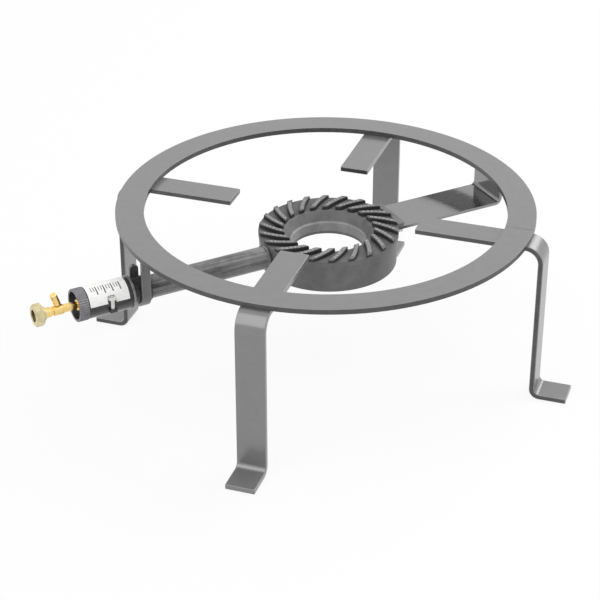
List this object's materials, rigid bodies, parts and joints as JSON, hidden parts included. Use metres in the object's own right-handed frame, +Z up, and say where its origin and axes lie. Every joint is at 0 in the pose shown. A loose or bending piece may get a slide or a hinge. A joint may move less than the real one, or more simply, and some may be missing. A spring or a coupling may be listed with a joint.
{
  "type": "outdoor gas burner",
  "caption": "Low round steel stand with a flat pot ring on bent strip legs, carrying a ribbed cast ring burner fed through a straight tube, air mixer and small brass lever tap.",
  "frame": {"origin": "middle of the stand on the ground, under the centre of the pot ring; the burner hangs 3.4 mm off it towards its strap, as in the picture", "axes": "+Z up, +X along the right bar, +Y along the rear bar, as the picture shows the stand; the gas inlet points out at 226.6 degrees from +X and the burner strap at 46.6 degrees"},
  "size_m": [0.488, 0.492, 0.168],
  "materials": {
    "stand_steel": "grey gloss enamel on flat steel bar",
    "weld_bead": "weld bead under the same enamel",
    "strap_steel": "lighter grey coating on flat steel strip",
    "cast_bowl": "dark sand-cast skin, machined at the seam",
    "cast_crown": "grey sand-cast skin with machined rib tops",
    "plated_screw": "bright zinc plate",
    "tube_steel": "dark streaky lacquer",
    "black_lacquer": "gloss black lacquer",
    "bright_band": "bright rolled band",
    "label_paper": "blank white film label",
    "collar_alloy": "dark grey knurled collar",
    "brass": "bright turned brass",
    "nut_brass": "pale dull brass",
    "seal_rubber": "black rubber"
  },
  "bodies": {
    "stand": {"pot_ring": "stand_steel", "leg_right": "stand_steel", "leg_rear": "stand_steel", "leg_left": "stand_steel", "leg_front": "stand_steel", "bar_welds": "weld_bead", "support_strap": "strap_steel", "strap_weld": "weld_bead", "lug_screws": "plated_screw", "tube_hanger": "stand_steel", "hanger_weld": "weld_bead", "burner_bowl": "cast_bowl", "burner_crown": "cast_crown", "bowl_screws": "plated_screw", "mixing_tube": "tube_steel", "mixer_housing": "black_lacquer", "housing_band": "bright_band", "label_sticker": "label_paper", "clamp_screw": "plated_screw", "jet_holder": "brass", "gas_jet": "brass", "holder_nut": "brass", "tap_body": "brass", "inlet_nipple": "brass", "inlet_washer": "seal_rubber"},
    "collar": {"air_collar": "collar_alloy"},
    "lever": {"tap_rotor": "brass", "tap_lever": "brass"},
    "nut": {"union_nut": "nut_brass"}
  },
  "joints": [
    {"name": "collar_turn", "type": "hinge", "parent": "stand", "child": "collar", "pos_m": [-0.17521, -0.18528, 0.127], "axis": [-0.6871, -0.7266, 0], "range_deg": [0, 45]},
    {"name": "lever_tilt", "type": "hinge", "parent": "stand", "child": "lever", "pos_m": [-0.18799, -0.19879, 0.127], "axis": [0.7266, -0.6871, 0], "range_deg": [-38, 0]},
    {"name": "nut_spin", "type": "hinge", "parent": "stand", "child": "nut", "pos_m": [-0.202, -0.21361, 0.127], "axis": [-0.6871, -0.7266, 0], "continuous": true}
  ]
}
